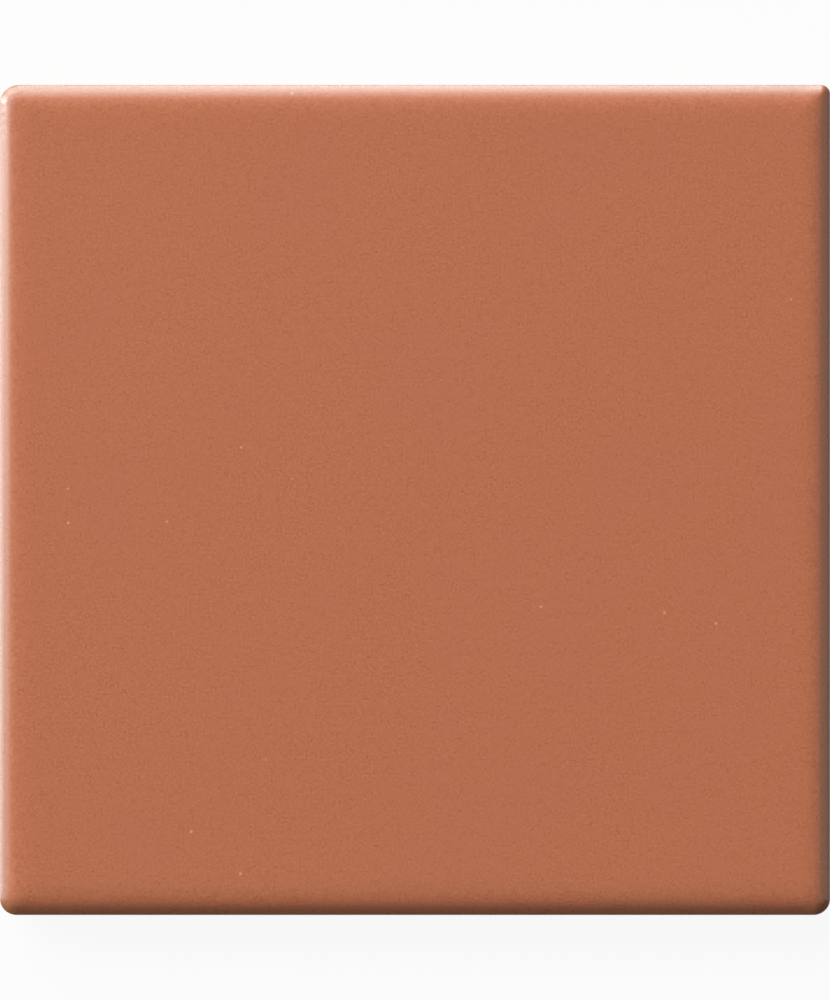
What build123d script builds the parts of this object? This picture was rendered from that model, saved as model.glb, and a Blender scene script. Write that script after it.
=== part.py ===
from build123d import *
import math
import os

# A square cushion-edge tile, pressed from clay, glazed and fired as one piece.
#
# The face is flat and rounds over into the sides on all four edges. Just below the round-over the sides
# stand straight, so that neighbouring tiles line up there. Further down they lean in, as the press die
# needs, and end in a bevel. The back is a grid of ribs round shallow cells with sloping walls, which the
# adhesive keys into. The ribs and the border round them share one plane, which the tile is bonded on.
#
# The origin is the centre of the back, on the plane of the ribs. +Z points out of the face.

# Driving dimensions, in millimetres and degrees
TILE_SIDE = 100.0  # width and depth of the outline, at the straight band of the sides
TILE_THICKNESS = 7.0  # from the plane of the ribs to the face
CUSHION_RADIUS = 2.0  # round-over between the face and the sides
FACE_CORNER_RADIUS = 0.1  # corner of the flat face, inside the round-over
SIDE_BAND = 1.5  # straight height of the sides, below the round-over
SIDE_DRAFT = 2.0  # lean of the sides, in degrees, from the band down to the back
BACK_BEVEL = 0.6  # bevel round the back, the same both ways
BORDER_WIDTH = 6.0  # flat width between the bevel and the cells
CELLS_PER_SIDE = 6  # even, so that two ribs cross at the centre
RIB_WIDTH = 2.0  # between two cells, at the plane of the ribs
CELL_CORNER_RADIUS = 1.5  # corner of a cell, at its mouth
CELL_DEPTH = 0.5  # from the plane of the ribs to the floor of a cell
CELL_DRAFT = 30.0  # lean of a cell's walls, in degrees

# Sizes that follow from them
OUTLINE_CORNER_RADIUS = FACE_CORNER_RADIUS + CUSHION_RADIUS
BAND_HEIGHT = CUSHION_RADIUS + SIDE_BAND
BAND_FOOT_LEVEL = TILE_THICKNESS - BAND_HEIGHT
BACK_SIDE = TILE_SIDE - 2 * BAND_FOOT_LEVEL * math.tan(math.radians(SIDE_DRAFT))
KEYED_WIDTH = BACK_SIDE - 2 * (BACK_BEVEL + BORDER_WIDTH)
CELL_PITCH = (KEYED_WIDTH + RIB_WIDTH) / CELLS_PER_SIDE
CELL_SIDE = CELL_PITCH - RIB_WIDTH  # one cell of the back, across its mouth


def pressed_blank():
    """The outline, carried up to the face and, with draft, down to the back; then its edges are finished."""
    outline = Plane.XY.offset(BAND_FOOT_LEVEL) * RectangleRounded(
        TILE_SIDE, TILE_SIDE, OUTLINE_CORNER_RADIUS
    )
    band = extrude(outline, amount=BAND_HEIGHT)
    drafted_foot = extrude(outline, amount=-BAND_FOOT_LEVEL, taper=SIDE_DRAFT)
    blank = band + drafted_foot
    face_edges = blank.faces().sort_by(Axis.Z)[-1].edges()
    blank = fillet(face_edges, radius=CUSHION_RADIUS)
    back_edges = blank.faces().sort_by(Axis.Z)[0].edges()
    return chamfer(back_edges, length=BACK_BEVEL)


def back_cells():
    """The cells that leave the grid of ribs standing, each narrowing from its mouth to its floor."""
    mouth = RectangleRounded(CELL_SIDE, CELL_SIDE, CELL_CORNER_RADIUS)
    cell = extrude(mouth, amount=CELL_DEPTH, taper=CELL_DRAFT)
    return [
        place * cell
        for place in GridLocations(CELL_PITCH, CELL_PITCH, CELLS_PER_SIDE, CELLS_PER_SIDE)
    ]


def square_tile():
    """One solid: the pressed blank with the cells sunk into its back."""
    return pressed_blank() - back_cells()


os.makedirs("parts", exist_ok=True)
export_step(square_tile(), "parts/square_tile.step")
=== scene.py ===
import math

import bpy
import numpy as np
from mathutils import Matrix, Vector


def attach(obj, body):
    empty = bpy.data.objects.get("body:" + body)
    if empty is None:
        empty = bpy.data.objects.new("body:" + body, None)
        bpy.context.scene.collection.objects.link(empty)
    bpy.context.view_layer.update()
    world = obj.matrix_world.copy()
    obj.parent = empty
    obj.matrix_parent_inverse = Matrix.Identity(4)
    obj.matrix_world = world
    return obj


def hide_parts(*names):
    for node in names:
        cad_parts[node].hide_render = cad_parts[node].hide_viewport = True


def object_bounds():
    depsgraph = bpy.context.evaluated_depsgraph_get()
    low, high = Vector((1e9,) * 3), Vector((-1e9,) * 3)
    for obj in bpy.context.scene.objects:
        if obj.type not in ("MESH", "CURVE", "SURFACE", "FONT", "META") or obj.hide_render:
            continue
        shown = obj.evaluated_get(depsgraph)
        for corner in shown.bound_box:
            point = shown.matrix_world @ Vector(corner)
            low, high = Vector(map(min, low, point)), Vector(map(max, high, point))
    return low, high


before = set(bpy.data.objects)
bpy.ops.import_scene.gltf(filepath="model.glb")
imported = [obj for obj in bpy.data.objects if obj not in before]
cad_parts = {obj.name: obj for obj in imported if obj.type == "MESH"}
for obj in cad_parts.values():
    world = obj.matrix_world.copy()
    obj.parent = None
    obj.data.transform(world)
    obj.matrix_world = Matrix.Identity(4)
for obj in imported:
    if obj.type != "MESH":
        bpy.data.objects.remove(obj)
cad_low, cad_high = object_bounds()

# A square cushion-edge tile, seen from straight above. The glaze covers the face, the round-over and the
# upper part of the sides, and ends in a wavy line. Below that line and on the back the fired clay is bare.
#
# Lengths are in millimetres up to the point where a mesh or the stage is made. +Y is the photograph's top,
# and rings of points run counter-clockwise, seen from above, from the middle of the corner at -X -Y.

MM = 0.001  # metres in a millimetre
NODE = "square_tile"
BODY = "root"

# Outline and edge
HALF_SIDE = cad_high.x / MM
THICKNESS = cad_high.z / MM
CORNER_RADII = np.array([2.0, 2.0, 1.1, 2.3])  # at -X -Y, +X -Y, +X +Y and -X +Y
CORNER_WIDENING = 0.9  # how much larger the corners' radii grow towards the flat of the face
INNER_CORNER_RADIUS = 3.3  # and the least that they grow to
CORNER_GROWTH = (0.5, 3.2)  # distances inside the outline between which they grow
REACH_PASSAGE = 3.0  # half the stretch round a corner where one edge's reach passes into the next one's
EDGE_TILT = math.radians(36.0)  # how steeply the face falls where it meets the arris
EDGE_REACH_X = 1.35  # distance from the sides along X over which most of that tilt fades out
EDGE_REACH_Y = 1.6  # and from the sides along Y
CUSHION_DROP = EDGE_REACH_Y * math.tan(EDGE_TILT)
ARRIS_RADIUS = 0.2  # between the face's edge and the sides
ARRIS_INSET = ARRIS_RADIUS * (1.0 - math.sin(EDGE_TILT))
BAND_FOOT = 3.5  # the sides stand straight from the round-over down to here
SIDE_DRAFT = math.tan(math.radians(2.0))  # lean of the sides below the band
BACK_BEVEL = 0.6
BEVEL_HEIGHTS = np.array([0.0, 0.02, 0.12, 0.40, 0.56, 0.75])  # rows of that bevel, with both its turns eased
BEVEL_INSETS = np.array([0.80, 0.72, 0.61, 0.33, 0.225, 0.215])
FACE_INSET = 4.5  # from the outline to the square grid of the face

# Glaze
GLAZE_LINE = 2.7  # mean height of the lower edge of the glaze
GLAZE_LINE_SWING = 0.45
GLAZE_LINE_WAVE = 22.0  # length of its slow waves
GLAZE_RUN_LENGTH = 0.8  # how far the longest runs hang below the line
GLAZE_RUN_WAVE = 9.0  # length of the waves that make the runs
GLAZE_RUN_MARKS = (0.9, 1.7)  # a run starts where those waves pass the first, and is whole at the second
GLAZE_THICKNESS = 0.12
LIP_RISES = np.array([0.0, 0.05, 0.14])  # rows of the lip along the glaze line
LIP_SHARES = np.array([0.65, 0.2, 0.0])  # and how far in they lie, as shares of the thickness
LIP_CLEARANCE = 0.02  # from the top of the bare wall to the lip
GLAZE_FADE = 0.9  # height above the line at which the glaze has its full depth
EDGE_THINNING_AND_SHADE = 0.75  # share of the glaze that has drawn away from the turn of the edge; it also darkens the rim all round as painted shade
EDGE_THIN_AND_SHADE_WIDTH = 1.8  # from the outline to full depth again, where the thin glaze and the painted shade end
GLAZE_WAVINESS = 0.03  # depth of the slow waves of the face
GLAZE_WAVE = 24.0  # length of those waves
BEAD_DEPTH = 0.015  # beads of glaze by the corner at -X +Y
BEAD_SPACING = 1.1
BEAD_STRETCH = (43.2, 48.4)  # where they are, along Y
BEAD_RISE = 1.5  # length over which they set in
BEAD_FALL = 0.3  # half the length over which they end
BEAD_FOOT = 0.25  # distance inside the outline at which they are whole
BEAD_FADE = (0.3, 0.9)  # and between which they fade out

# Back
CELLS_PER_SIDE = 6
BORDER_WIDTH = 6.0
BORDER_RING_INSET = 2.2  # from the outline to a ring of points on the border
RIB_WIDTH = 2.0
CELL_CORNER_RADIUS = 1.5
CELL_DEPTH = 0.5
CELL_DRAFT = math.tan(math.radians(30.0))
CELL_EASE = 0.12  # rounding of a cell's lip and of the foot of its walls
KEYED_WIDTH = 2 * (HALF_SIDE - SIDE_DRAFT * BAND_FOOT - BACK_BEVEL - BORDER_WIDTH)
CELL_PITCH = (KEYED_WIDTH + RIB_WIDTH) / CELLS_PER_SIDE
CELL_HALF = (CELL_PITCH - RIB_WIDTH) / 2

# Steps of the grids
SIDE_STEPS = 180  # columns along one side of the tile
CORNER_STEPS = 7  # of those, on each half corner
CROWDING = 0.6  # from 0, even columns, towards 1, columns crowded at the corners
CUSHION_STEPS = 26
ROW_CROWDING = 1.3  # power that crowds the rows of the round-over at the arris
ARRIS_STEPS = 5
CELL_STEPS = 10  # columns along one side of a cell
CELL_CORNER_STEPS = 2
COLUMNS_PER_CELL_STEP = SIDE_STEPS // (CELLS_PER_SIDE * CELL_STEPS)
WELD = 1e-4  # points closer than this are one point

GLAZED = 0
BARE = 1


# Shapes

def smooth_step(low, high, value):
    """Rises from 0 at low to 1 at high, level at both ends."""
    t = np.clip((value - low) / (high - low), 0.0, 1.0)
    return t * t * (3.0 - 2.0 * t)


def waves(x, y, length, count, seed):
    """About -1 to 1: the sum of sine waves of about that length, each with its own heading and phase."""
    rng = np.random.default_rng(seed)
    heading = rng.uniform(0.0, 2.0 * np.pi, count)
    phase = rng.uniform(0.0, 2.0 * np.pi, count)
    rate = 2.0 * np.pi / (length * rng.uniform(0.7, 1.5, count))
    along = x[..., None] * np.cos(heading) + y[..., None] * np.sin(heading)
    return np.sin(rate * along + phase).sum(axis=-1) / np.sqrt(2.0 * count)


def quarter_turns(side):
    """The side along -Y, then the same side after one, two and three quarter turns: four (n, 2) stretches."""
    x, y = side[..., 0], side[..., 1]
    turned = [(x, y), (-y, x), (-x, -y), (y, -x)]
    return np.stack([np.stack(pair, axis=-1) for pair in turned])


def crowded(t, crowding):
    """From -1 to 1 as t does, part straight line and part sine, so that steps shorten towards the ends."""
    return (1.0 - crowding) * t + crowding * np.sin(0.5 * np.pi * t)


def rounded_square(half, radii, steps, corner_steps, crowding):
    """A square with a round corner of each radius, as points and outward directions.

    Along each side the direction turns by 45 degrees over the first half corner, keeps still along the
    straight stretch, and turns by 45 degrees again over the next half corner. A point is its corner's centre,
    which slides along the straight stretch, plus the radius times that direction.
    """
    step = np.arange(steps)
    first_turn = np.clip(step / corner_steps, 0.0, 1.0)
    last_turn = np.clip((step - steps + corner_steps) / corner_steps, 0.0, 1.0)
    heading = np.radians(225.0 + 45.0 * (first_turn + last_turn))
    straight = np.clip((step - corner_steps) / (steps - 2 * corner_steps), 0.0, 1.0)
    along = 0.5 + 0.5 * crowded(2.0 * straight - 1.0, crowding)
    outward = np.stack([np.cos(heading), np.sin(heading)], axis=-1)
    sides = []
    facings = []
    for side in range(4):
        first = radii[side]
        last = radii[(side + 1) % 4]
        radius = first + (last - first) * along
        centre_x = first - half + (2.0 * half - first - last) * along
        centre = np.stack([centre_x, radius - half], axis=-1)
        sides.append(quarter_turns(centre + radius[:, None] * outward)[side])
        facings.append(quarter_turns(outward)[side])
    return np.concatenate(sides), np.concatenate(facings)


def sharp_square(half, steps, crowding):
    """The points of a square with sharp corners, crowded towards them."""
    t = -1.0 + 2.0 * np.arange(steps) / steps
    side = np.stack([half * crowded(t, crowding), np.full(steps, -half)], axis=-1)
    return quarter_turns(side).reshape(-1, 2)


def corner_distance(to_x_side, to_y_side, radius):
    """Distance inside a square with round corners, from the distances to its two nearest sides."""
    past_x = radius - to_x_side
    past_y = radius - to_y_side
    outside = np.hypot(np.maximum(past_x, 0.0), np.maximum(past_y, 0.0))
    return radius - outside - np.minimum(np.maximum(past_x, past_y), 0.0)


def edge_distance(x, y):
    """How far a point is from the outline, with corners that get rounder further in."""
    to_x_side = HALF_SIDE - np.abs(x)
    to_y_side = HALF_SIDE - np.abs(y)
    lower = np.where(x < 0.0, CORNER_RADII[0], CORNER_RADII[1])
    upper = np.where(x < 0.0, CORNER_RADII[3], CORNER_RADII[2])
    radius = np.where(y < 0.0, lower, upper)
    exact = corner_distance(to_x_side, to_y_side, radius)
    inner_radius = np.maximum(radius + CORNER_WIDENING, INNER_CORNER_RADIUS)
    soft = corner_distance(to_x_side, to_y_side, inner_radius)
    return exact + (soft - exact) * smooth_step(*CORNER_GROWTH, exact)


def edge_reach(x, y):
    """The reach of the nearest edge, which passes smoothly from one to the other round each corner."""
    nearer_x = smooth_step(-REACH_PASSAGE, REACH_PASSAGE, np.abs(x) - np.abs(y))
    return EDGE_REACH_Y + (EDGE_REACH_X - EDGE_REACH_Y) * nearer_x


def face_height(x, y):
    """Height of the glazed top over a point of the plan.

    The drop towards the outline is one minus the hyperbolic tangent of the distance from it, so the face
    bends down ever more steeply with no line where it starts. Slow waves are taken off it.
    """
    inside = edge_distance(x, y)
    reach = edge_reach(x, y)
    drop = reach * math.tan(EDGE_TILT) * (1.0 - np.tanh(inside / reach))
    wave = 0.5 + 0.25 * waves(x, y, GLAZE_WAVE, count=14, seed=4)
    dip = GLAZE_WAVINESS * np.clip(wave, 0.0, 1.0) * smooth_step(0.0, 3.0, inside)
    return THICKNESS - drop - dip


def raised(plan, height):
    """Plan points and a height, which may be one number for all of them, as points in space."""
    level = np.broadcast_to(height, plan.shape[:-1])
    return np.concatenate([plan, level[..., None]], axis=-1)


def face():
    """The flat of the face, as a square grid."""
    line = (HALF_SIDE - FACE_INSET) * crowded(np.linspace(-1.0, 1.0, SIDE_STEPS + 1), CROWDING)
    x, y = np.meshgrid(line, line)
    return np.stack([x, y, face_height(x, y)], axis=-1)


def cushion(outline, outward):
    """The round-over: straight lines in plan from the arris to the face's grid, lifted to the face's height.

    Beads of glaze press the surface in between them.
    """
    inner = sharp_square(HALF_SIDE - FACE_INSET, SIDE_STEPS, CROWDING)
    depths = ARRIS_INSET + (FACE_INSET - ARRIS_INSET) * np.linspace(0.0, 1.0, CUSHION_STEPS) ** ROW_CROWDING
    share = depths[:, None, None] / FACE_INSET
    plan = outline + (inner - outline) * share
    x, y = plan[..., 0], plan[..., 1]
    points = raised(plan, face_height(x, y))
    inside = edge_distance(x, y)
    rising = smooth_step(BEAD_STRETCH[0], BEAD_STRETCH[0] + BEAD_RISE, y)
    falling = 1.0 - smooth_step(BEAD_STRETCH[1] - BEAD_FALL, BEAD_STRETCH[1] + BEAD_FALL, y)
    on_edge = smooth_step(0.0, BEAD_FOOT, inside) * (1.0 - smooth_step(*BEAD_FADE, inside))
    beaded = np.where(x < 0.0, rising * falling * on_edge, 0.0)
    press = BEAD_DEPTH * beaded * (0.5 + 0.5 * np.cos(2.0 * np.pi * y / BEAD_SPACING))
    points[..., :2] -= press[..., None] * outward
    points[..., 2] -= press
    return points


def arris(outline, edge):
    """The turn between the edge of the face and the sides: an arc that ends upright on the outline.

    From the sides up, each row's angle falls from 90 degrees to the tilt of the edge. Its place between the
    edge and the outline follows the angle's sine, and its drop below the edge follows the cosine.
    """
    angle = np.linspace(0.5 * np.pi, EDGE_TILT, ARRIS_STEPS)[:, None]
    out = (np.sin(angle) - math.sin(EDGE_TILT)) / (1.0 - math.sin(EDGE_TILT))
    plan = edge[:, :2] + (outline - edge[:, :2]) * out[..., None]
    return raised(plan, edge[:, 2] - ARRIS_RADIUS * (math.cos(EDGE_TILT) - np.cos(angle)))


def glaze_line(x, y):
    """Height of the lower edge of the glaze: slow waves, with runs where other waves pass a mark."""
    swing = GLAZE_LINE_SWING * waves(x, y, GLAZE_LINE_WAVE, count=9, seed=11)
    runs = smooth_step(*GLAZE_RUN_MARKS, waves(x, y, GLAZE_RUN_WAVE, count=9, seed=5))
    return GLAZE_LINE + swing - GLAZE_RUN_LENGTH * runs


def glaze_depth_and_rim_shade(points):
    """How much glaze lies on each point, from 0 to 1: less on the turn of the edge, none at the glaze line.
    The drop on the turn is partly thin glaze and partly painted shade of the rim.

    Smooth steps in the distance from the outline, in height near the rim and in height above the glaze line.
    """
    x, y, z = points.T
    rim = THICKNESS - CUSHION_DROP
    # The rim's loss of depth stands partly for thin glaze and partly for painted shade.
    on_turn = 1.0 - smooth_step(0.0, EDGE_THIN_AND_SHADE_WIDTH, edge_distance(x, y))
    near_rim = smooth_step(rim - 1.0, rim - 0.2, z)
    above_line = smooth_step(0.0, GLAZE_FADE, z - glaze_line(x, y))
    return above_line * (1.0 - EDGE_THINNING_AND_SHADE * on_turn * near_rim)


def lean(height):
    """How far the sides have leant in at a height."""
    return SIDE_DRAFT * np.maximum(BAND_FOOT - height, 0.0)


def side_rows(outline, outward, heights, insets):
    """Rows of the sides: the outline moved in by each row's inset, at each row's heights."""
    plan = outline - insets[..., None] * outward
    return raised(plan, heights)


def glazed_side(outline, outward, line, top):
    """The glazed part of the sides, from a rounded lip at the glaze line up to the arris."""
    lip_rise = LIP_RISES[:, None]
    lip_inset = LIP_SHARES[:, None] * GLAZE_THICKNESS
    lip_height = line + lip_rise
    share = np.linspace(0.0, 1.0, 6)[1:, None]
    wall_height = lip_height[-1] + (top - lip_height[-1]) * share
    heights = np.concatenate([lip_height, wall_height])
    insets = np.concatenate([lean(lip_height) + lip_inset, lean(wall_height)])
    return side_rows(outline, outward, heights, insets)


def bare_foot(outline, outward, line):
    """The bare part of the sides: the eased bevel of the back, then the clay up to the glaze line."""
    bevel_height = BEVEL_HEIGHTS[:, None]
    bevel_in = BEVEL_INSETS[:, None]
    share = np.linspace(0.0, 1.0, 7)[1:, None]
    wall_height = bevel_height[-1] + (line - LIP_CLEARANCE - bevel_height[-1]) * share
    wall_in = lean(wall_height) + GLAZE_THICKNESS
    lip_height = line[None, :]
    lip_in = lean(lip_height) + LIP_SHARES[0] * GLAZE_THICKNESS
    columns = (1, len(outline))
    heights = np.concatenate([bevel_height * np.ones(columns), wall_height, lip_height])
    insets = np.concatenate([bevel_in * np.ones(columns), wall_in, lip_in])
    return side_rows(outline, outward, heights, insets)


def cell_rings():
    """One cell of the back about its own centre, as rings from its middle out to the middle of the ribs.

    The mouth is a rounded square. Floor, wall and lip are that square moved in or out, the floor is shrunk to
    its middle, and the outermost ring is the mouth pushed out from the centre onto the square of the pitch.
    """
    mouth, outward = rounded_square(
        CELL_HALF, np.full(4, CELL_CORNER_RADIUS), CELL_STEPS, CELL_CORNER_STEPS, 0.0
    )
    wall_run = CELL_DEPTH * CELL_DRAFT
    ease = CELL_EASE
    profile = np.array([
        (-wall_run - ease, CELL_DEPTH),
        (-wall_run - 0.2 * ease, CELL_DEPTH - 0.2 * ease),
        (-wall_run + 0.4 * ease, CELL_DEPTH - ease),
        (-0.4 * ease, ease),
        (0.2 * ease, 0.2 * ease),
        (ease, 0.0),
    ])
    wall = raised(mouth + profile[:, None, :1] * outward, profile[:, 1:])
    shrink = np.array([0.0, 0.35, 0.7])[:, None, None]
    floor = raised(wall[0, :, :2] * shrink, CELL_DEPTH)
    reach = np.abs(mouth).max(axis=-1, keepdims=True)
    rib = raised(mouth * (0.5 * CELL_PITCH / reach), 0.0)
    return np.concatenate([floor, wall, rib[None]])


def back_cells():
    """The grid of cells, one set of rings for each."""
    rings = cell_rings()
    place = CELL_PITCH * (np.arange(CELLS_PER_SIDE) - 0.5 * (CELLS_PER_SIDE - 1))
    return [rings + np.array([x, y, 0.0]) for y in place for x in place]


def back_border(rim):
    """The flat border of the back: from the edge of the cells out to a coarse ring, then to the bevel's ring.

    The coarse ring has one point for several of the rim, so each of its points is repeated for those.
    """
    outer_ring = cell_rings()[-1, :CELL_STEPS, :2]
    place = CELL_PITCH * (np.arange(CELLS_PER_SIDE) - 0.5 * (CELLS_PER_SIDE - 1))
    front = outer_ring + np.stack([place, np.full(CELLS_PER_SIDE, place[0])], axis=-1)[:, None]
    keyed_edge = quarter_turns(front.reshape(-1, 2)).reshape(-1, 2)
    coarse = sharp_square(HALF_SIDE - BORDER_RING_INSET, CELLS_PER_SIDE * CELL_STEPS, CROWDING)
    share = np.linspace(0.0, 1.0, 4)[:, None, None]
    border = raised(keyed_edge + (coarse - keyed_edge) * share, 0.0)
    repeated = np.repeat(border[-1], COLUMNS_PER_CELL_STEP, axis=0)
    seam = np.stack([np.roll(repeated, -(COLUMNS_PER_CELL_STEP // 2), axis=0), rim])
    return border, seam


def triangles_of(points, closed):
    """Two triangles for each cell of a grid of points; a closed grid joins its last column to its first."""
    rows, columns = points.shape[:2]
    index = np.arange(rows * columns).reshape(rows, columns)
    if closed:
        index = np.concatenate([index, index[:, :1]], axis=1)
    a, b = index[:-1, :-1], index[:-1, 1:]
    d, c = index[1:, :-1], index[1:, 1:]
    lower = np.stack([a, b, c], axis=-1).reshape(-1, 3)
    upper = np.stack([a, c, d], axis=-1).reshape(-1, 3)
    return np.concatenate([lower, upper])


def welded(patches):
    """All patches as one skin: points that round to one place are one, and triangles without an area go."""
    points = np.concatenate([grid.reshape(-1, 3) for grid, closed, finish in patches])
    starts = np.cumsum([0] + [grid.shape[0] * grid.shape[1] for grid, closed, finish in patches])
    parts = [triangles_of(grid, closed) for grid, closed, finish in patches]
    triangles = np.concatenate([part + start for part, start in zip(parts, starts)])
    finishes = np.concatenate(
        [np.full(len(part), finish) for part, (grid, closed, finish) in zip(parts, patches)]
    )
    places = np.round(points / WELD).astype(np.int64)
    kept, new_index = np.unique(places, axis=0, return_index=True, return_inverse=True)[1:]
    triangles = new_index.reshape(-1)[triangles]
    whole = (
        (triangles[:, 0] != triangles[:, 1])
        & (triangles[:, 1] != triangles[:, 2])
        & (triangles[:, 2] != triangles[:, 0])
    )
    return points[kept], triangles[whole], finishes[whole]


def tile_skin():
    """The closed skin of the tile, from the middle of the back, up the sides and over the face."""
    outline, outward = rounded_square(HALF_SIDE, CORNER_RADII, SIDE_STEPS, CORNER_STEPS, CROWDING)
    line = glaze_line(outline[:, 0], outline[:, 1])
    foot = bare_foot(outline, outward, line)
    border, seam = back_border(foot[0])
    patches = [(cell, True, BARE) for cell in back_cells()]
    patches += [(border, True, BARE), (seam, True, BARE), (foot, True, BARE)]
    round_over = cushion(outline, outward)
    turn = arris(outline, round_over[0])
    patches += [(glazed_side(outline, outward, line, turn[0, :, 2]), True, GLAZED), (turn, True, GLAZED)]
    patches += [(round_over, True, GLAZED), (face(), False, GLAZED)]
    return welded(patches)


def mesh_object(name, points, triangles, finishes, materials):
    """A mesh object from whole arrays, smooth shaded, in metres."""
    mesh = bpy.data.meshes.new(name)
    mesh.vertices.add(len(points))
    mesh.vertices.foreach_set("co", (points * MM).astype(np.float32).ravel())
    mesh.loops.add(triangles.size)
    mesh.loops.foreach_set("vertex_index", triangles.astype(np.int32).ravel())
    mesh.polygons.add(len(triangles))
    mesh.polygons.foreach_set("loop_start", np.arange(0, triangles.size, 3, dtype=np.int32))
    for material in materials:
        mesh.materials.append(material)
    mesh.polygons.foreach_set("material_index", finishes.astype(np.int32))
    mesh.polygons.foreach_set("use_smooth", np.ones(len(triangles), dtype=bool))
    # This attribute carries the glaze's depth together with the painted shade on the rim of the face.
    depth = mesh.attributes.new("glaze_depth_and_rim_shade", "FLOAT", "POINT")
    depth.data.foreach_set("value", glaze_depth_and_rim_shade(points).astype(np.float32))
    mesh.update(calc_edges=True)
    made = bpy.data.objects.new(name, mesh)
    bpy.context.scene.collection.objects.link(made)
    return made


# Materials

# Sockets that share a name go by number. A Mix takes its share on 0 and its colours on 6 and 7, and gives the
# colour on output 2. A Map Range takes the range it reads on 1 and 2, and the range it gives on 3 and 4.

GLAZE_CLOUD = 14.0  # width of the slow changes of the glaze's hue
GLAZE_MOTTLE = 1.2  # width of its orange peel
GLAZE_GRAIN = 0.28  # about two pixels of the photograph, which is as coarse as it needs to show
PEEL_DEPTH = 0.007
CLAY_CLOUD = 9.0  # width of the patches of the bare clay
CLAY_GRAIN = 0.45
CLAY_RELIEF = 0.05

def colour(code):
    """An sRGB hex colour as linear red, green, blue and alpha."""
    shares = [int(code[place:place + 2], 16) / 255.0 for place in (1, 3, 5)]
    linear = [s / 12.92 if s <= 0.04045 else ((s + 0.055) / 1.055) ** 2.4 for s in shares]
    return (*linear, 1.0)


def per_mm(size):
    """The scale of a pattern on object coordinates, in metres, whose features are that many millimetres."""
    return 1.0 / (size * MM)


def add(tree, kind, inputs=None, **settings):
    """Adds a node with its own settings; each input is a value or another node's output."""
    made = tree.nodes.new(kind)
    for name, value in settings.items():
        setattr(made, name, value)
    for socket, value in (inputs or {}).items():
        if isinstance(value, bpy.types.NodeSocket):
            tree.links.new(value, made.inputs[socket])
        else:
            made.inputs[socket].default_value = value
    return made


def empty_material(name):
    """A node material with nothing in it yet."""
    material = bpy.data.materials.new(name)
    material.use_nodes = True
    material.node_tree.nodes.clear()
    return material


def speck_mask(tree, place, spacing, size, share):
    """1 on small round specks, 0 between them: the middles of some of the cells of a Voronoi pattern."""
    cells = add(tree, "ShaderNodeTexVoronoi", {"Vector": place, "Scale": per_mm(spacing)})
    round_spot = add(
        tree, "ShaderNodeMapRange",
        {
            "Value": cells.outputs["Distance"],
            1: 0.25 * size / spacing,
            2: 0.5 * size / spacing,
            3: 1.0,
            4: 0.0,
        },
    )
    draw = add(tree, "ShaderNodeSeparateColor", {"Color": cells.outputs["Color"]})
    chosen = add(tree, "ShaderNodeMath", {0: draw.outputs[0], 1: share}, operation="LESS_THAN")
    mask = add(
        tree, "ShaderNodeMath", {0: round_spot.outputs[0], 1: chosen.outputs[0]}, operation="MULTIPLY"
    )
    return mask.outputs[0]


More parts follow.
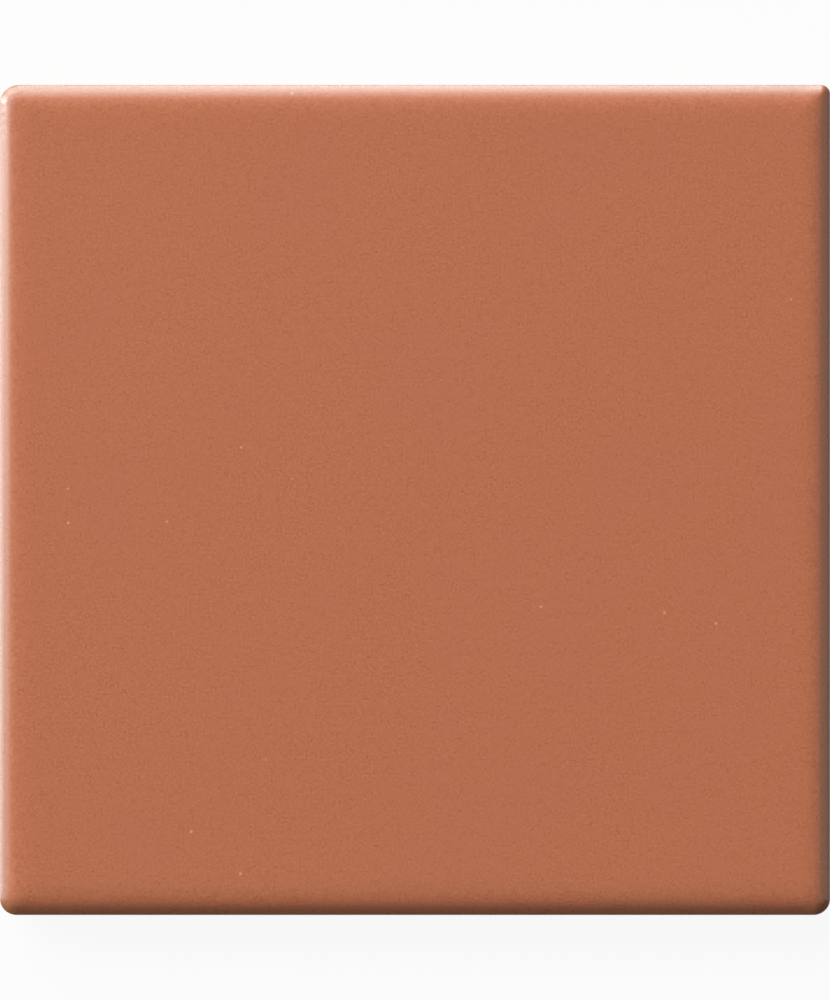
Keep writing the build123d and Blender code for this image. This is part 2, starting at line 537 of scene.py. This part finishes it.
def satin_terracotta_glaze():
    """Opaque satin glaze, sprayed on pressed clay and fired.

    It gives an even terracotta with a fine grain, a few pale specks and pinholes, and a soft shine that
    follows a faint orange peel. At its lower line it lies thinner, and the clay browns it. On the turn of the
    edge it is browner and darker too, partly as thin glaze and partly as painted shade of the rim.
    """
    material = empty_material("satin_terracotta_glaze")
    tree = material.node_tree
    place = add(tree, "ShaderNodeTexCoord").outputs["Object"]
    depth = add(tree, "ShaderNodeAttribute", attribute_name="glaze_depth_and_rim_shade").outputs["Fac"]
    cloud = add(tree, "ShaderNodeTexNoise", {"Vector": place, "Scale": per_mm(GLAZE_CLOUD), "Detail": 2.0})
    mottle = add(tree, "ShaderNodeTexNoise", {"Vector": place, "Scale": per_mm(GLAZE_MOTTLE), "Detail": 1.0})
    grain = add(tree, "ShaderNodeTexNoise", {"Vector": place, "Scale": per_mm(GLAZE_GRAIN), "Detail": 1.0})
    specks = speck_mask(tree, place, spacing=3.0, size=0.45, share=0.1)
    pinholes = speck_mask(tree, place, spacing=2.2, size=0.25, share=0.1)
    tone = add(
        tree, "ShaderNodeMath",
        {0: mottle.outputs["Fac"], 1: 0.08, 2: grain.outputs["Fac"]},
        operation="MULTIPLY_ADD",
    )
    grained = add(
        tree, "ShaderNodeMix",
        {0: tone.outputs[0], 6: colour("#964F2F"), 7: colour("#CA815E")},
        data_type="RGBA",
    )
    hue_share = add(
        tree, "ShaderNodeMapRange", {"Value": cloud.outputs["Fac"], 1: 0.3, 2: 0.7, 3: 0.0, 4: 0.25}
    )
    clouded = add(
        tree, "ShaderNodeMix",
        {0: hue_share.outputs[0], 6: grained.outputs[2], 7: colour("#B76950")},
        data_type="RGBA",
    )
    # Browner and darker where the depth falls: thin glaze at the lower line, and on the rim of the face thin
    # glaze together with painted shade.
    thin_glaze_and_rim_shade_share = add(tree, "ShaderNodeMath", {0: 1.0, 1: depth}, operation="SUBTRACT")
    thinned_and_shaded = add(
        tree, "ShaderNodeMix",
        {0: thin_glaze_and_rim_shade_share.outputs[0], 6: clouded.outputs[2], 7: colour("#8C5F44")},
        data_type="RGBA",
    )
    pitted = add(
        tree, "ShaderNodeMix",
        {0: pinholes, 6: thinned_and_shaded.outputs[2], 7: colour("#8F5239")},
        data_type="RGBA",
    )
    specked = add(
        tree, "ShaderNodeMix",
        {0: specks, 6: pitted.outputs[2], 7: colour("#D49572")},
        data_type="RGBA",
    )
    roughness = add(
        tree, "ShaderNodeMapRange", {"Value": mottle.outputs["Fac"], 1: 0.25, 2: 0.75, 3: 0.265, 4: 0.295}
    )
    peel = add(
        tree, "ShaderNodeMath",
        {0: grain.outputs["Fac"], 1: 0.15, 2: mottle.outputs["Fac"]},
        operation="MULTIPLY_ADD",
    )
    relief = add(tree, "ShaderNodeMath", {0: pinholes, 1: -0.8, 2: peel.outputs[0]}, operation="MULTIPLY_ADD")
    bump = add(
        tree, "ShaderNodeBump",
        {"Strength": 1.0, "Distance": PEEL_DEPTH * MM, "Height": relief.outputs[0]},
    )
    shader = add(
        tree, "ShaderNodeBsdfPrincipled",
        {
            "Base Color": specked.outputs[2],
            "Roughness": roughness.outputs[0],
            "IOR": 1.8,
            "Normal": bump.outputs["Normal"],
        },
    )
    add(tree, "ShaderNodeOutputMaterial", {"Surface": shader.outputs["BSDF"]})
    return material


def fired_red_clay():
    """Bare pressed clay, fired: matt, with an open grain, crushed grit, and pale kiln dust where it stood."""
    material = empty_material("fired_red_clay")
    tree = material.node_tree
    place = add(tree, "ShaderNodeTexCoord").outputs["Object"]
    cloud = add(tree, "ShaderNodeTexNoise", {"Vector": place, "Scale": per_mm(CLAY_CLOUD), "Detail": 3.0})
    grain = add(tree, "ShaderNodeTexNoise", {"Vector": place, "Scale": per_mm(CLAY_GRAIN), "Detail": 3.0})
    dark_grit = speck_mask(tree, place, spacing=1.1, size=0.45, share=0.3)
    pale_grit = speck_mask(tree, place, spacing=1.4, size=0.5, share=0.3)
    tone = add(
        tree, "ShaderNodeMath",
        {0: cloud.outputs["Fac"], 1: 0.6, 2: grain.outputs["Fac"]},
        operation="MULTIPLY_ADD",
    )
    clay = add(
        tree, "ShaderNodeMix",
        {0: tone.outputs[0], 6: colour("#95583F"), 7: colour("#BE8262")},
        data_type="RGBA",
    )
    darkened = add(
        tree, "ShaderNodeMix", {0: dark_grit, 6: clay.outputs[2], 7: colour("#7A4534")}, data_type="RGBA"
    )
    gritty = add(
        tree, "ShaderNodeMix", {0: pale_grit, 6: darkened.outputs[2], 7: colour("#D3A688")}, data_type="RGBA"
    )
    height = add(tree, "ShaderNodeSeparateXYZ", {"Vector": place}).outputs["Z"]
    stood_on = add(tree, "ShaderNodeMapRange", {"Value": height, 1: 0.02 * MM, 2: 0.1 * MM, 3: 1.0, 4: 0.0})
    patches = add(
        tree, "ShaderNodeMapRange", {"Value": cloud.outputs["Fac"], 1: 0.38, 2: 0.68, 3: 0.0, 4: 0.6}
    )
    dust = add(
        tree, "ShaderNodeMath", {0: stood_on.outputs[0], 1: patches.outputs[0]}, operation="MULTIPLY"
    )
    dusted = add(
        tree, "ShaderNodeMix",
        {0: dust.outputs[0], 6: gritty.outputs[2], 7: colour("#DCC8B6")},
        data_type="RGBA",
    )
    roughness = add(
        tree, "ShaderNodeMapRange", {"Value": grain.outputs["Fac"], 1: 0.3, 2: 0.7, 3: 0.82, 4: 0.95}
    )
    relief = add(
        tree, "ShaderNodeMath", {0: pale_grit, 1: 0.4, 2: grain.outputs["Fac"]}, operation="MULTIPLY_ADD"
    )
    bump = add(
        tree, "ShaderNodeBump",
        {"Strength": 1.0, "Distance": CLAY_RELIEF * MM, "Height": relief.outputs[0]},
    )
    shader = add(
        tree, "ShaderNodeBsdfPrincipled",
        {
            "Base Color": dusted.outputs[2],
            "Roughness": roughness.outputs[0],
            "IOR": 1.45,
            "Normal": bump.outputs["Normal"],
        },
    )
    add(tree, "ShaderNodeOutputMaterial", {"Surface": shader.outputs["BSDF"]})
    return material


points, triangles, finishes = tile_skin()
tile = mesh_object("tile", points, triangles, finishes, [satin_terracotta_glaze(), fired_red_clay()])
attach(tile, BODY)
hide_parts(NODE)


# Stage, light and camera

IMAGE_WIDTH = 830
IMAGE_HEIGHT = 1000
LENS = 200.0
SENSOR = 36.0  # along the image's longer side
OUTLINE_LEVEL = 5.7  # height of the widest outline, which fills the image's width
WHITE_SHARE = 0.92  # of the floor's white that its shadows leave
WORLD_STRENGTH = 0.03
FLOOR_HALF = 3.0  # metres
FLOOR_GREY = (0.65, 0.65, 0.65, 1.0)


def white_to_the_eye(tree, share):
    """That share on rays seen directly, mirrored or through glass, and 0 on rays that light things."""
    path = add(tree, "ShaderNodeLightPath")
    seen = add(
        tree, "ShaderNodeMath",
        {0: path.outputs["Is Camera Ray"], 1: path.outputs["Is Glossy Ray"]},
        operation="MAXIMUM",
    )
    any_seen = add(
        tree, "ShaderNodeMath",
        {0: seen.outputs[0], 1: path.outputs["Is Transmission Ray"]},
        operation="MAXIMUM",
    )
    shared = add(tree, "ShaderNodeMath", {0: any_seen.outputs[0], 1: share}, operation="MULTIPLY")
    return shared.outputs[0]


def pale_floor():
    """Matt pale board that looks white and keeps a soft shadow."""
    material = empty_material("pale_floor")
    tree = material.node_tree
    board = add(tree, "ShaderNodeBsdfDiffuse", {"Color": FLOOR_GREY})
    white = add(tree, "ShaderNodeEmission", {"Color": (1.0, 1.0, 1.0, 1.0), "Strength": 1.0})
    mix = add(
        tree, "ShaderNodeMixShader",
        {0: white_to_the_eye(tree, WHITE_SHARE), 1: board.outputs[0], 2: white.outputs[0]},
    )
    add(tree, "ShaderNodeOutputMaterial", {"Surface": mix.outputs[0]})
    return material


def floor():
    """A wide square floor under the tile."""
    half = FLOOR_HALF
    mesh = bpy.data.meshes.new("floor")
    corners = [(-half, -half, 0.0), (half, -half, 0.0), (half, half, 0.0), (-half, half, 0.0)]
    mesh.from_pydata(corners, [], [(0, 1, 2, 3)])
    mesh.materials.append(pale_floor())
    made = bpy.data.objects.new("floor", mesh)
    bpy.context.scene.collection.objects.link(made)


def softbox(name, azimuth, elevation, distance, width, height, watts):
    """An area lamp that faces the tile, in metres. Azimuth runs counter-clockwise from +X."""
    turn = math.radians(azimuth)
    rise = math.radians(elevation)
    towards = Vector((math.cos(turn) * math.cos(rise), math.sin(turn) * math.cos(rise), math.sin(rise)))
    lamp = bpy.data.lights.new(name, "AREA")
    lamp.shape = "RECTANGLE"
    lamp.size = width
    lamp.size_y = height
    lamp.energy = watts
    made = bpy.data.objects.new(name, lamp)
    made.location = towards * distance
    made.rotation_mode = "QUATERNION"
    made.rotation_quaternion = (-towards).to_track_quat("-Z", "Y")
    bpy.context.scene.collection.objects.link(made)


def studio_world():
    """Dim, even light from all round."""
    world = bpy.data.worlds.new("studio")
    bpy.context.scene.world = world
    world.use_nodes = True
    tree = world.node_tree
    tree.nodes.clear()
    dim = add(tree, "ShaderNodeBackground", {"Color": (1.0, 1.0, 1.0, 1.0), "Strength": WORLD_STRENGTH})
    add(tree, "ShaderNodeOutputWorld", {"Surface": dim.outputs[0]})


def overhead_camera():
    """Straight above the tile, with +Y up, so that the outline fills the image's width."""
    data = bpy.data.cameras.new("overhead")
    data.lens = LENS
    data.sensor_width = SENSOR
    made = bpy.data.objects.new("overhead", data)
    long_side = 2.0 * HALF_SIDE * IMAGE_HEIGHT / IMAGE_WIDTH
    made.location = (0.0, 0.0, (OUTLINE_LEVEL + long_side * LENS / SENSOR) * MM)
    bpy.context.scene.collection.objects.link(made)
    bpy.context.scene.camera = made


bpy.context.scene.view_settings.view_transform = "Standard"
floor()
studio_world()
# The key lights the face, the strips, rims and corner lights brighten the top and left edges, and the right
# strip and the fill lift the shaded side.
softbox("key_light", 135.0, 38.0, 7.0, 9.8, 3.9, 303.0)
softbox("key_core", 135.0, 38.0, 7.0, 5.0, 3.9, 300.0)
softbox("diagonal_strip", 120.0, 18.0, 5.0, 3.0, 2.0, 94.0)
softbox("top_strip", 90.0, 22.0, 5.0, 2.0, 1.5, 36.0)
softbox("top_rim", 90.0, 8.0, 2.0, 0.56, 0.5, 8.6)
softbox("left_strip", 180.0, 28.0, 5.0, 2.0, 2.4, 14.0)
softbox("left_rim", 180.0, 8.0, 5.0, 1.4, 1.2, 55.0)
softbox("corner_light", 157.0, 20.0, 1.5, 0.7, 0.55, 8.5)
softbox("corner_spark", 162.0, 22.0, 1.5, 0.2, 0.2, 2.6)
softbox("right_strip", 0.0, 24.0, 5.0, 2.0, 2.0, 8.0)
softbox("fill_light", 0.0, 50.0, 3.0, 3.0, 1.2, 3.0)
overhead_camera()
